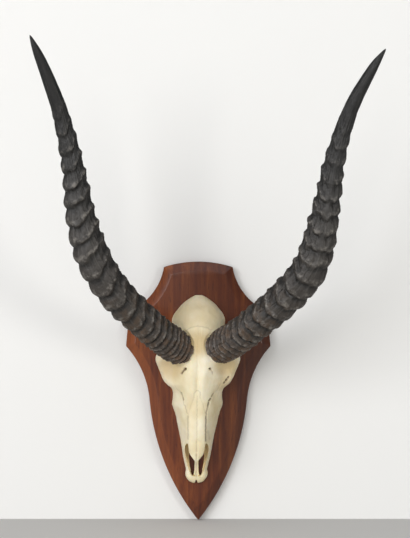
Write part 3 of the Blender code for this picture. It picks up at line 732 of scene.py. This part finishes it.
# Sections of the plain skull: z, then (half width, height) from its front round to the sawn edge.
SKULL_STATIONS = (
    (141.0, (0, 10), (2.2, 9.5), (3.7, 8), (4.8, 5), (5.2, 0)),
    (138.0, (0, 19), (5, 18), (8.4, 14), (10.2, 8), (10.4, 0)),
    (131.0, (0, 32), (9.5, 30), (16.5, 23.5), (20.2, 13), (20.4, 0)),
    (121.0, (0, 45), (13.5, 42.5), (24.5, 33.5), (29.6, 18), (29.8, 0)),
    (114.0, (0, 51), (15.6, 48.4), (29, 38), (34.9, 20.6), (34.9, 0)),
    (108.0, (0, 55), (17, 52), (31, 41), (37.5, 22), (37.2, 0)),
    (93.0, (0, 61), (17, 58), (31, 46), (36.8, 25), (36, 0)),
    (78.0, (0, 65), (17, 63), (33, 51), (39, 30), (37, 0)),
    (66.0, (0, 66.5), (16, 65), (36, 54), (49, 36), (44, 0)),
    (57.0, (0, 66), (16, 64.5), (39, 51), (58.3, 36), (54, 0)),
    (49.0, (0, 65), (16, 63.5), (40, 48), (59.8, 35), (56, 0)),
    (41.0, (0, 63.5), (16, 62), (38, 46), (57.2, 33), (54, 0)),
    (32.0, (0, 61.5), (15, 60), (36, 45), (53.8, 32), (50, 0)),
    (22.0, (0, 59.5), (15, 57.5), (34, 44), (50, 30), (46, 0)),
    (14.0, (0, 57.5), (14.5, 55.5), (32, 43), (44.6, 27), (42, 0)),
    (8.0, (0, 56), (14, 53.5), (29, 41), (37.8, 23), (37, 0)),
    (2.0, (0, 54.5), (14, 52), (27, 39), (35, 20), (35.8, 0)),
    (-8.0, (0, 52), (13.5, 49), (26, 35), (34, 16), (36.3, 0)),
    (-18.0, (0, 50.5), (13, 47.5), (25, 33), (33.8, 14), (37.2, 0)),
    (-26.0, (0, 49.5), (12.8, 46.5), (23, 31), (31, 13), (34.3, 0)),
    (-34.0, (0, 48.5), (12.6, 45.5), (21.5, 30), (28.5, 13), (31.8, 0)),
    (-46.0, (0, 47), (12.3, 44), (19.5, 29), (26, 13), (29.3, 0)),
    (-58.0, (0, 45), (12, 42), (18, 28), (23.5, 12), (26.5, 0)),
    (-69.0, (0, 41), (11.7, 38.5), (17, 27), (21.8, 12), (24.2, 0)),
    (-80.0, (0, 30), (11, 29.5), (17, 26), (20.6, 12), (22.3, 0)),
    (-93.0, (0, 21), (10, 21), (15.5, 19), (19, 9), (20.2, 0)),
    (-107.0, (0, 14), (8.5, 13.8), (13, 12.2), (16, 6), (16.8, 0)),
    (-112.5, (0, 12.2), (8, 12), (12.2, 10.4), (14.9, 5), (15.6, 0)),
    (-117.5, (0, 11), (8, 10.7), (13, 9.2), (15.9, 4), (16.5, 0)),
    (-123.0, (0, 9.8), (7.6, 9.5), (12.4, 7.6), (15.2, 3.2), (15.7, 0)),
    (-127.8, (0, 8), (6.4, 7.8), (10, 6.2), (12.4, 2.8), (12.8, 0)),
    (-130.8, (0, 6), (4.8, 5.8), (7.6, 4.6), (9.4, 2), (9.8, 0)),
    (-132.4, (0, 4), (2.8, 3.9), (4.6, 3), (5.8, 1.4), (6, 0)),
)
SKULL_COLUMNS = 96
SKULL_ROWS = 260
# The sections' points on each side of the middle, and the share of the tube that lies beneath.
SIDE_POINTS = 4
UNDER_STEPS = 1.6
SEAT_GAP = 0.2
# The skull is seated a little askew, turned this far about a point between the horns.
SKULL_LEAN = 0.014
SKULL_LEAN_Z = 70.0
SKULL_VOXEL = 1.0
# The bony stump and the seat cut for the horn: places along the horn's line and radii there.
PEDICEL = ((-46.0, 27.0), (-18.4, 22.0), (46.0, 22.0))
HORN_SEAT = ((-40.0, 26.4), (0.0, 26.4), (50.0, 26.4))
# The nasal bones' free end: z, half width, height on the midline.
NASAL_TIP = (
    *((-50.0, 10.0, 44.6), (-62.0, 11.8, 43.4), (-72.0, 12.2, 41.9), (-81.0, 11.0, 40.4)),
    *((-86.4, 9.2, 39.5), (-90.5, 6.2, 38.8), (-95.5, 2.2, 38.1), (-96.8, 1.0, 38.0)),
)
NASAL_THICKNESS = 4.0
NASAL_CROWN = 4.0
# The groove between the two nasal bones: depth and half width.
NASAL_SEAM = (0.8, 1.0)
# The open nose between its side walls: z, half width at the floor and at the rim.
NOSE_TROUGH = (
    *((-66.0, 5.0, 11.0), (-74.0, 9.0, 16.0), (-80.0, 9.6, 17.2), (-90.0, 9.8, 16.2)),
    *((-101.0, 9.4, 13.6), (-111.0, 7.8, 11.0), (-118.5, 5.4, 8.0), (-122.0, 3.0, 4.6)),
)
TROUGH_FLOOR = 6.0
TROUGH_RIM = 46.0
TROUGH_FLARE = 20.0
# The gaps in the nose's floor beside the middle bars: z, nearer and further edge.
NOSE_SLOT = (
    *((-82.0, 4.4, 7.4), (-88.0, 3.1, 11.0), (-100.0, 2.9, 10.8)),
    *((-111.0, 3.1, 9.2), (-118.5, 3.8, 7.6), (-121.5, 4.8, 6.4)),
)
# The middle height of the gaps' cutters, and how far they reach up and down.
SLOT_HEIGHT = (4.0, 8.0)
# The notch between the end lobes: half width and length, and the same heights for its cutter.
NOSE_NOTCH = (2.2, 11.0)
NOTCH_HEIGHT = (10.0, 14.0)
# The ball that hollows each eye socket: x, z and height, its radii and its turn.
SOCKET = {"centre": (52.0, 27.0, 4.0), "radii": (26.0, 25.0, 19.5), "turn": math.radians(27.0)}
TUBE_MERGE = 0.00001
# Dents and swellings of the bone: x, z, radius across, radius along, height, and both sides.
SWELLINGS = (
    (39, 36, 8, 12, -3.6, True),
    (8, 17, 5.5, 15, 1.4, True),
    (0, 24, 2.0, 18, -1.5, False),
    (9.5, 31, 5, 8, 1.1, True),
    (27, -2, 6, 13, -2.4, True),
    (53, 50, 4, 9, 1.5, True),
    (47, 24, 3.5, 9, 1.0, True),
    (24, 60, 6, 10, -1.2, True),
    (0, 128, 9, 5, -1.4, False),
    (22, -30, 4, 16, 1.0, True),
    (6, -35, 4, 30, 0.7, True),
)
# Upright ridges over the brow, grain, grit, and how far the sutures wander.
BROW_RIDGES = 0.8
BONE_GRAIN = 0.28
BONE_GRIT = 0.12
SUTURE_WAVER = 0.8
# Sutures and grooves: points (x, z), half width, depth and how dark they are stained.
SUTURES = (
    (((-18, 92), (-11, 96.5), (-3, 98.5), (6, 98), (13, 96.4), (18, 93)), 0.8, 0.55, 0.22),
    (((0, 98), (-0.6, 60), (0, 40)), 0.8, 0.25, 0.06),
    (((-4.6, -3), (-4.2, 4), (-1.6, 7.4), (1.4, 7.6), (3.8, 5.5), (4.6, -3)), 0.75, 0.4, 0.26),
    (((-4.6, -3), (-9, -14), (-12.4, -28)), 0.7, 0.4, 0.12),
    (((4.6, -3), (9, -14), (12.4, -26)), 0.7, 0.4, 0.12),
    (((0, 0), (0.4, -40), (0, -95)), 0.75, 0.55, 0.22),
    (((0, -84), (0, -123)), 0.8, 0.9, 0.3),
    (((-20.5, -9), (-17, -16), (-14, -26)), 0.7, 0.4, 0.3),
    (((-13.2, -30), (-13, -46), (-12.8, -63)), 1.2, 0.8, 0.36),
    (((15.7, -15), (13.8, -22), (13.2, -30)), 0.8, 0.8, 0.5),
    (((13.2, -30), (12.9, -45), (13.2, -66)), 1.1, 0.9, 0.72),
    (((-17.5, 38.2), (-20, 35.5), (-22.6, 31.5)), 1.3, 1.7, 0.85),
    (((18, 38.5), (20.6, 35.4), (21.6, 32)), 0.8, 0.8, 0.4),
    (((-25, 2), (-29, 6), (-33, 13)), 0.7, 0.35, 0.12),
    (((25, 1), (30, 7), (33, 16)), 0.7, 0.35, 0.12),
    (((16, -52), (19, -66)), 1.1, 0.7, 0.3),
)
# Holes: points (x, z) along them, half width, depth.
HOLES = (
    (((-17.3, 38.6), (-18.0, 37.8)), 1.4, 5.0),
    (((17.6, 38.8), (18.2, 38.2)), 1.3, 4.5),
    (((-24.4, 1.6), (-22.8, -2.4), (-20.8, -7.0)), 1.2, 5.0),
    (((24.4, 1.0), (21.6, -2.4)), 0.9, 4.0),
    (((19.4, -5.6), (17.6, -7.6)), 1.2, 5.0),
    (((16.9, -10.4), (15.9, -14.8)), 0.9, 4.0),
    (((44.6, 25.4), (43.8, 23.6)), 0.9, 1.6),
    (((42.2, 21.4), (41.2, 19.6)), 1.2, 2.0),
    (((39.0, 17.6), (38.2, 16.4)), 1.0, 1.6),
)
# Yellower patches on the bone: x, z, radius across, radius along, strength. The two on the wings beneath
# the horns are painted shade of the horns; the others make the bone yellower.
YELLOW_AND_SHADE_PATCHES = (
    (0, 118, 45, 22, 0.4),
    (0, 74, 30, 18, 0.72),
    (-40, 40, 22, 20, 0.72),
    (42, 40, 18, 18, 0.65),
    (38, 18, 14, 13, 0.5),
    (-10, -8, 5, 12, 0.15),
    (24, -30, 7, 30, 0.2),
)


def leaning(x, z):
    """A place across the skull, moved as the skull leans on the board."""
    return x + SKULL_LEAN * (z - SKULL_LEAN_Z)


def skull_surface(around, along):
    """The loft of the plain skull. Around runs from the left sawn edge over the front."""
    stations = sorted(SKULL_STATIONS)
    knots = np.array([row[0] for row in stations], float)
    values = np.array([[c for point in row[1:] for c in point] for row in stations], float)
    z = knots[0] + (knots[-1] - knots[0]) * along
    rows, row_of = np.unique(z, return_inverse=True)
    sections = through(knots, values, rows).reshape(len(rows), 5, 2)
    left = sections[:, :0:-1] * (-1, 1)
    arch = np.concatenate([left, sections], axis=1)
    front = 2 * SIDE_POINTS
    place = around * (front + UNDER_STEPS)
    points = np.empty((len(z), 2))
    for k in range(len(rows)):
        chosen = row_of == k
        section = through(np.arange(front + 1), arch[k], np.clip(place[chosen], 0, front))
        under = np.clip((place[chosen] - front) / UNDER_STEPS, 0, 1)
        section[:, 0] += (arch[k, 0, 0] - arch[k, -1, 0]) * under
        points[chosen] = section
    height = np.maximum(points[:, 1], 0.0)
    return to_metres(leaning(points[:, 0], z), z, SHIELD_THICKNESS + SEAT_GAP + height)


def sheet_tube(name, columns, rows, surface):
    """A closed tube rolled from a grid by a function of its two shares."""
    tube, around, along = grid_sheet(name, columns, rows)
    write_points(tube.data, surface(around, along))
    close_tube(tube, TUBE_MERGE)
    return tube


def station_curve(rows, along):
    """The z at each share of a piece's length, and its two measures there."""
    stops = np.array(sorted(rows))
    z = stops[0, 0] + (stops[-1, 0] - stops[0, 0]) * along
    return z, *through(stops[:, 0], stops[:, 1:], z).T


def horn_tube(name, stops):
    """A plain tube along the horn's line, through (place, radius) stops."""
    places, radii = np.array(stops).T

    def surface(around, along):
        at = places[0] + (places[-1] - places[0]) * along
        radius = np.interp(at, places, radii)
        points = on_horn(name, at, radius, 2 * math.pi * around)
        return to_metres(points[:, 0], points[:, 1], points[:, 2])

    return sheet_tube(name + "_tube", 64, 40, surface)


def nasal_surface(around, along):
    """The arched plate of the two nasal bones, crowned above and hollow below."""
    z, half, high = station_curve(NASAL_TIP, along)
    turn = 2 * math.pi * around
    x = half * np.sin(turn)
    crown = high - NASAL_CROWN * (1 - np.sqrt(np.clip(1 - np.sin(turn) ** 2, 0, 1)))
    height = np.where(np.cos(turn) > 0, crown, crown - NASAL_THICKNESS)
    deep, half_width = NASAL_SEAM
    seam = deep * np.exp(-((x / half_width) ** 2)) * (np.cos(turn) > 0)
    return to_metres(leaning(x, z), z, SHIELD_THICKNESS + height - seam)


def trough_surface(around, along):
    """The hollow of the nose: narrow at the floor and wide at the rim."""
    z, floor, rim = station_curve(NOSE_TROUGH, along)
    turn = 2 * math.pi * around
    up = (1 - np.cos(turn)) / 2
    height = TROUGH_FLOOR + (TROUGH_RIM - TROUGH_FLOOR) * up
    spread = np.clip((height - TROUGH_FLOOR) / TROUGH_FLARE, 0, 1) ** 0.7
    width = (floor + (rim - floor) * spread) * np.sign(np.sin(turn)) * np.abs(np.sin(turn)) ** 0.35
    return to_metres(leaning(width, z), z, SHIELD_THICKNESS + height)


def slot_surface(side):
    """One of the two gaps through the floor of the nose, beside the middle bars."""

    def surface(around, along):
        z, near, far = station_curve(NOSE_SLOT, along)
        turn = 2 * math.pi * around
        x = (near + far) / 2 + (far - near) / 2 * np.clip(1.6 * np.cos(turn), -1, 1)
        height = SLOT_HEIGHT[0] + SLOT_HEIGHT[1] * np.clip(1.6 * np.sin(turn), -1, 1)
        return to_metres(leaning(side * x, z), z, SHIELD_THICKNESS + height)

    return surface


def socket_cutter(side):
    deselect_all()
    bpy.ops.mesh.primitive_uv_sphere_add(segments=64, ring_count=40, radius=1.0)
    cutter = bpy.context.object
    x, z, up = SOCKET["centre"]
    size = Matrix.Diagonal((*(radius * MM for radius in SOCKET["radii"]), 1.0))
    spin = Matrix.Rotation(side * SOCKET["turn"], 4, "Y")
    move = Matrix.Translation((leaning(side * x, z) * MM, -(SHIELD_THICKNESS + up) * MM, z * MM))
    cutter.data.transform(move @ spin @ size)
    return cutter


def notch_cutter():
    """The wedge that parts the two lobes at the end of the nose."""
    half_width, length = NOSE_NOTCH
    middle, reach = NOTCH_HEIGHT
    end = SKULL_STATIONS[-1][0]
    deselect_all()
    bpy.ops.mesh.primitive_cone_add(vertices=4, radius1=1.0, radius2=1.0, depth=2.0)
    cutter = bpy.context.object
    for vertex in cutter.data.vertices:
        x, z, up = vertex.co
        along = end - 3.0 if z < 0.5 else end + length
        across = leaning(x * half_width, along)
        vertex.co = (across * MM, -(SHIELD_THICKNESS + middle + reach * up) * MM, along * MM)
    edit(cutter)
    bpy.ops.mesh.remove_doubles(threshold=0.00001)
    bpy.ops.mesh.normals_make_consistent(inside=False)
    leave_edit()
    return cutter


def path_distance(points, path):
    """How far plan points lie from a path of plan points."""
    best = np.full(len(points), 1e9)
    for a, b in zip(path, path[1:]):
        a, b = np.array(a, float), np.array(b, float)
        way = b - a
        t = np.clip((points - a) @ way / (way @ way), 0, 1)
        best = np.minimum(best, np.linalg.norm(points - a - t[:, None] * way, axis=1))
    return best


def oval(plan, x, z, across, along):
    """How far plan points lie from an oval's middle: 0 there and 1 at its edge, squared."""
    return ((plan[:, 0] - x) / across) ** 2 + ((plan[:, 1] - z) / along) ** 2


def carve_skull(skull):
    """Press the dents, sutures, holes and grain of the bone into the plain skull."""
    mesh = skull.data
    points = read_points(mesh)
    normals = read_points(mesh, "normal")
    plan = points[:, [0, 2]] / MM
    plan[:, 0] -= SKULL_LEAN * (plan[:, 1] - SKULL_LEAN_Z)
    height = -points[:, 1] / MM - SHIELD_THICKNESS
    facing = np.clip((-normals[:, 1] - 0.15) / 0.3, 0, 1)
    lift = np.zeros(len(points))
    for x, z, across, along, high, both in SWELLINGS:
        for side in (1, -1) if both else (1,):
            lift += high * np.exp(-oval(plan, side * x, z, across, along)) * facing
    dark_marks = np.zeros(len(points))
    wander = rough(np.stack([plan[:, 0] * 0.35, plan[:, 1] * 0.35, height * 0], axis=-1), 2.0)
    for path, half, deep, dark in SUTURES:
        away = path_distance(plan + SUTURE_WAVER * wander[:, None], path)
        mark = np.exp(-((away / half) ** 2)) * facing
        lift -= deep * mark
        dark_marks = np.maximum(dark_marks, dark * mark)
    # Each hole is coloured fully dark brown.
    for path, half, deep in HOLES:
        away = path_distance(plan, path)
        mark = 1 / (1 + np.exp((away - half) * 4)) * facing
        lift -= deep * mark
        dark_marks = np.maximum(dark_marks, mark)
    brow = np.exp(-((plan[:, 0] / 9) ** 4)) * np.clip((plan[:, 1] - 40) / 12, 0, 1)
    brow *= np.clip((104 - plan[:, 1]) / 12, 0, 1)
    ridges = rough(np.stack([plan[:, 0] * 0.75, plan[:, 1] * 0.05, height * 0], axis=-1), 9.0)
    lift += BROW_RIDGES * ridges * brow * facing
    grain = rough(np.stack([plan[:, 0] * 0.22, plan[:, 1] * 0.12, height * 0.2], axis=-1), 4.0)
    fine = rough(points / MM * 0.55, 6.0)
    lift += BONE_GRAIN * grain + BONE_GRIT * fine
    write_points(mesh, points + normals * lift[:, None] * MM)
    keep_value(mesh, "dark_marks", dark_marks)
    # Yellower patches, with painted shade of the horns on the wings beneath them.
    yellow = np.zeros(len(points))
    for x, z, across, along, strength in YELLOW_AND_SHADE_PATCHES:
        near = oval(plan, x, z, across, along)
        yellow = np.maximum(yellow, strength * np.exp(-(near**2)))
    # Painted shade: the walls of the nose's hollow are coloured tan, as if in shade.
    stops = np.array(sorted(NOSE_TROUGH))
    floor, rim = (np.interp(plan[:, 1], stops[:, 0], stops[:, i]) for i in (1, 2))
    inside = (np.abs(plan[:, 0]) > floor - 1) & (np.abs(plan[:, 0]) < rim + 0.5)
    inside &= (plan[:, 1] < stops[-1, 0]) & (plan[:, 1] > stops[0, 0]) & (height < 34) & (height > 7)
    keep_value(mesh, "yellow", np.maximum(yellow, 0.8 * inside))


def make_skull():
    skull = sheet_tube("skull_bone", SKULL_COLUMNS, SKULL_ROWS, skull_surface)
    boolean(skull, sheet_tube("trough", 48, 60, trough_surface))
    boolean(skull, sheet_tube("nasals", 48, 60, nasal_surface), "UNION")
    for name in HORN_PATHS:
        stump = horn_tube(name, PEDICEL)
        origin, normal = base_plane(name)
        cut_plane(stump, origin, normal, False)
        cut_plane(stump, (0, 0, SHIELD_THICKNESS + 2), TO_VIEWER, True)
        boolean(skull, stump, "UNION")
    for name in HORN_PATHS:
        seat = horn_tube(name, HORN_SEAT)
        origin, normal = base_plane(name)
        cut_plane(seat, origin, normal, True)
        boolean(skull, seat)
    for side in (1, -1):
        boolean(skull, socket_cutter(side))
        boolean(skull, sheet_tube("slot", 32, 40, slot_surface(side)))
    boolean(skull, notch_cutter())
    remesh = skull.modifiers.new("even mesh", "REMESH")
    remesh.mode = "VOXEL"
    remesh.voxel_size = SKULL_VOXEL * MM
    smooth = skull.modifiers.new("soften", "SMOOTH")
    smooth.factor = 0.5
    smooth.iterations = 3
    apply_modifiers(skull)
    carve_skull(skull)
    return skull


def bleached_bone():
    """Boiled and bleached bone: chalky ivory in patches of 36 mm, yellower in patches, with painted shade
    in tan on the wings under the horns and on the walls of the nose's hollow, brown grime in its sutures,
    dark brown holes, pores drawn 1 mm wide so that they show, and a dull sheen."""
    material, tree, shader = new_material("bleached_bone")
    place = add_node(tree, "TexCoord").outputs["Object"]
    dark_marks = add_node(tree, "Attribute", attribute_name="dark_marks").outputs["Fac"]
    patches = add_node(
        tree, "TexNoise", {"Vector": place, "Scale": 28.0, "Detail": 4.0, "Roughness": 0.55}
    ).outputs["Fac"]
    ivory = add_node(
        tree,
        "ValToRGB",
        {"Fac": patches},
        stops=((0.32, linear("#e7d9b2")), (0.5, linear("#f2e7c6")), (0.68, linear("#f8f0da"))),
    ).outputs[0]
    yellow = add_node(tree, "Attribute", attribute_name="yellow").outputs["Fac"]
    # The tan mix: yellower bone, and painted shade under the horns and in the nose's hollow.
    yellowed_and_shaded = add_node(
        tree, "Mix", {0: yellow, 6: ivory, 7: linear("#c9ae78")}, data_type="RGBA"
    ).outputs[2]
    # Dark brown: grime in the sutures, and the whole of each hole.
    darkened = add_node(tree, "Mix", {0: dark_marks, 6: yellowed_and_shaded, 7: linear("#5a3c22")}, data_type="RGBA").outputs[2]
    tree.links.new(darkened, shader.inputs["Base Color"])
    pores = add_node(
        tree, "TexNoise", {"Vector": place, "Scale": 900.0, "Detail": 3.0, "Roughness": 0.6}
    ).outputs["Fac"]
    bump = add_node(tree, "Bump", {"Height": pores, "Strength": 0.25, "Distance": 0.0002}).outputs[0]
    tree.links.new(bump, shader.inputs["Normal"])
    set_inputs(shader, {"Roughness": 0.55, "Subsurface Weight": 0.3})
    set_inputs(shader, {"Subsurface Radius": (1.0, 0.75, 0.5), "Subsurface Scale": 0.005})
    return material


skull = make_skull()
skull.data.materials.clear()
skull.data.materials.append(bleached_bone())
activate(skull)
bpy.ops.object.shade_smooth()
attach(skull, "root")
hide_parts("skull")


# The keyhole plate and the four countersunk screws behind: zinc-plated steel, stamped and turned.
# They are let into the board's back, so they show only from behind.
def zinc_plate():
    """Bright zinc on steel: a cool grey metal, mottled every 1.4 mm by the plating bath."""
    material, tree, shader = new_material("zinc_plated_steel")
    place = add_node(tree, "TexCoord").outputs["Object"]
    mottle = add_node(tree, "TexNoise", {"Vector": place, "Scale": 700.0, "Detail": 3.0}).outputs["Fac"]
    colour = add_node(
        tree,
        "ValToRGB",
        {"Fac": mottle},
        stops=((0.3, linear("#9b9c98")), (0.7, linear("#c4c5c0"))),
    ).outputs[0]
    tree.links.new(colour, shader.inputs["Base Color"])
    set_inputs(shader, {"Metallic": 1.0, "Roughness": 0.38})
    return material


zinc = zinc_plate()
for node_name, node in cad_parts.items():
    if node_name.startswith(("hanger", "plate_screw", "skull_screw")):
        node.data.materials.clear()
        node.data.materials.append(zinc)


# The stage: a pale wall behind the mount, seen only from the front so that the back can be
# looked at, a plain pale floor, soft lights and the camera square to the shield.
CAMERA_X = 9.9
CAMERA_Z = 179.05
CAMERA_DISTANCE = 1600.0
SENSOR = 36.0
# The picture's height in pixels, and what a pixel shows at the shield's front.
FRAME_HEIGHT = 538
SHIELD_SCALE = 1.46
FLOOR_Z = -190.6
WALL_Y = 1.5
WALL_SIZE = 5.0
WALL_MIDDLE = 0.6
FLOOR_SIZE = 6.0
LIT_POINT = (0, 0, 0.1)


def pale_paint(name, code, one_sided):
    """Matt emulsion on plaster. One-sided paint can't be seen from behind."""
    material, tree, shader = new_material(name)
    set_inputs(shader, {"Base Color": linear(code), "Roughness": 0.8})
    if one_sided:
        behind = add_node(tree, "NewGeometry").outputs["Backfacing"]
        clear = add_node(tree, "BsdfTransparent").outputs[0]
        mixed = add_node(tree, "MixShader", {0: behind, 1: shader.outputs[0], 2: clear}).outputs[0]
        tree.links.new(mixed, tree.nodes["Material Output"].inputs["Surface"])
    return material


deselect_all()
bpy.ops.mesh.primitive_plane_add(
    size=WALL_SIZE, location=(0, WALL_Y * MM, WALL_MIDDLE), rotation=(math.pi / 2, 0, 0)
)
wall = bpy.context.object
wall.name = "backdrop_wall"
wall.data.materials.append(pale_paint("wall_paint", "#efefed", True))
wall.visible_diffuse = False
wall.visible_glossy = False
wall.visible_transmission = False
wall.visible_shadow = False
deselect_all()
bpy.ops.mesh.primitive_plane_add(size=FLOOR_SIZE, location=(0, -1.0, FLOOR_Z * MM))
floor = bpy.context.object
floor.name = "floor"
floor.data.materials.append(pale_paint("floor_paint", "#e6e4df", False))


def area_light(name, place, target, size, power, colour):
    """A round soft light that faces its target."""
    lamp = bpy.data.lights.new(name, "AREA")
    lamp.shape = "DISK"
    lamp.size = size
    lamp.energy = power
    lamp.color = linear(colour)[:3]
    obj = bpy.data.objects.new(name, lamp)
    bpy.context.scene.collection.objects.link(obj)
    obj.location = place
    way = Vector(target) - Vector(place)
    obj.rotation_euler = way.to_track_quat("-Z", "Y").to_euler()


area_light("window", (-4.6, -5.0, 2.0), LIT_POINT, 4.4, 262.0, "#fdfdff")
area_light("key", (-0.5, -2.5, 0.9), LIT_POINT, 0.9, 9.0, "#fffaf4")
area_light("ceiling", (0.0, -1.3, 2.7), LIT_POINT, 4.2, 36.0, "#fbfcff")
area_light("fill", (3.4, -3.4, 0.4), (0, 0, 0), 1.2, 40.0, "#fffdf8")
world = bpy.data.worlds.new("studio")
world.use_nodes = True
set_inputs(world.node_tree.nodes["Background"], {"Color": linear("#eef0f2"), "Strength": 0.2})
bpy.context.scene.world = world
bpy.context.scene.view_settings.view_transform = "Standard"

camera_data = bpy.data.cameras.new("camera")
camera = bpy.data.objects.new("camera", camera_data)
bpy.context.scene.collection.objects.link(camera)
camera_y = -(SHIELD_THICKNESS + CAMERA_DISTANCE)
camera.location = (CAMERA_X * MM, camera_y * MM, CAMERA_Z * MM)
camera.rotation_euler = (math.pi / 2, 0, 0)
camera_data.sensor_width = SENSOR
camera_data.lens = SENSOR * CAMERA_DISTANCE / SHIELD_SCALE / FRAME_HEIGHT
camera_data.clip_end = 20.0
bpy.context.scene.camera = camera
